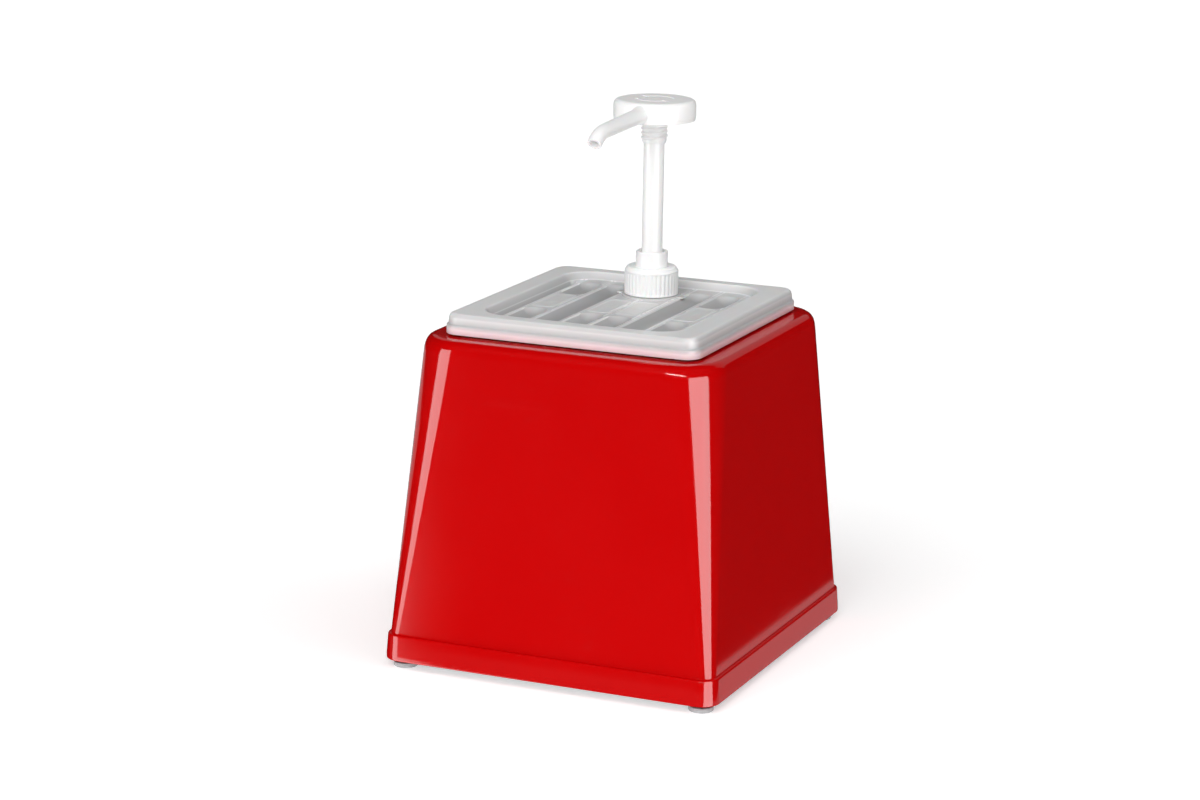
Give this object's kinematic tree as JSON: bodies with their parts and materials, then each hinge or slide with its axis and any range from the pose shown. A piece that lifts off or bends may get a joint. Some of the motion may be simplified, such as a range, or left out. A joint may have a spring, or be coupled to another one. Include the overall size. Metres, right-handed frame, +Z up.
{
  "type": "condiment pump dispenser",
  "caption": "Counter-top sauce dispenser: tapered red housing with a lift-out food pan, ribbed snap lid and a hand pump with a swivelling spout.",
  "frame": {"origin": "on the counter, under the middle of the housing's footprint", "axes": "+Z up, -Y towards the front that the spout points to, +X to the right seen from the front"},
  "size_m": [0.2288, 0.2408, 0.354],
  "materials": {
    "red_abs": "glossy moulded red",
    "grey_abs": "matt grey",
    "grey_rubber": "soft matt",
    "milky_pp": "milky translucent",
    "frosted_pe": "frosted translucent",
    "white_pp": "smooth satin white",
    "silicone": "soft white",
    "steel": "bright drawn"
  },
  "bodies": {
    "housing": {"housing": "red_abs", "base_plate": "grey_abs", "foot_front_left": "grey_rubber", "foot_front_right": "grey_rubber", "foot_back_left": "grey_rubber", "foot_back_right": "grey_rubber", "foot_screw_front_left": "steel", "foot_screw_front_right": "steel", "foot_screw_back_left": "steel", "foot_screw_back_right": "steel"},
    "pan": {"food_pan": "milky_pp"},
    "lid": {"lid": "frosted_pe"},
    "gasket": {"neck_gasket": "silicone"},
    "pump": {"pump_cylinder": "white_pp", "guide_chimney": "white_pp", "stem_wiper": "silicone", "return_spring": "steel", "inlet_seat": "white_pp", "dip_tube": "milky_pp"},
    "cap": {"screw_cap": "white_pp"},
    "piston": {"piston": "white_pp", "piston_seal": "silicone"},
    "head": {"plunger_stem": "white_pp", "lock_collar": "white_pp", "pump_head": "white_pp"},
    "outlet_valve": {"outlet_ball": "steel"},
    "inlet_valve": {"inlet_ball": "steel"}
  },
  "joints": [
    {"name": "pan_lift", "type": "slide", "parent": "housing", "child": "pan", "axis": [0, 0, 1], "range_m": [0, 0.145]},
    {"name": "lid_lift", "type": "slide", "parent": "pan", "child": "lid", "axis": [0, 0, 1], "range_m": [0, 0.15]},
    {"name": "pump_lift", "type": "slide", "parent": "lid", "child": "gasket", "axis": [0, 0, 1], "range_m": [0, 0.16]},
    {"name": "pump_rise", "type": "slide", "parent": "gasket", "child": "pump", "axis": [0, 0, 1], "range_m": [0, 0.007]},
    {"name": "cap_turn", "type": "hinge", "parent": "pump", "child": "cap", "pos_m": [0, 0.046, 0.2349], "axis": [0, 0, 1], "range_deg": [0, 720]},
    {"name": "plunger_stroke", "type": "slide", "parent": "pump", "child": "piston", "axis": [0, 0, -1], "range_m": [0, 0.075], "stiffness_N_per_m": 60, "springref_m": -0.1, "deforming": ["return_spring"]},
    {"name": "head_swivel", "type": "hinge", "parent": "piston", "child": "head", "pos_m": [0, 0.046, 0.3405], "axis": [0, 0, 1], "continuous": true},
    {"name": "outlet_ball_lift", "type": "slide", "parent": "piston", "child": "outlet_valve", "axis": [0, 0, 1], "range_m": [0, 0.003]},
    {"name": "inlet_ball_lift", "type": "slide", "parent": "pump", "child": "inlet_valve", "axis": [0, 0, 1], "range_m": [0, 0.003]}
  ],
  "couplings": [
    {"joint": "cap_turn", "follows": "pump_rise", "rad_per_m": 1795.2}
  ]
}
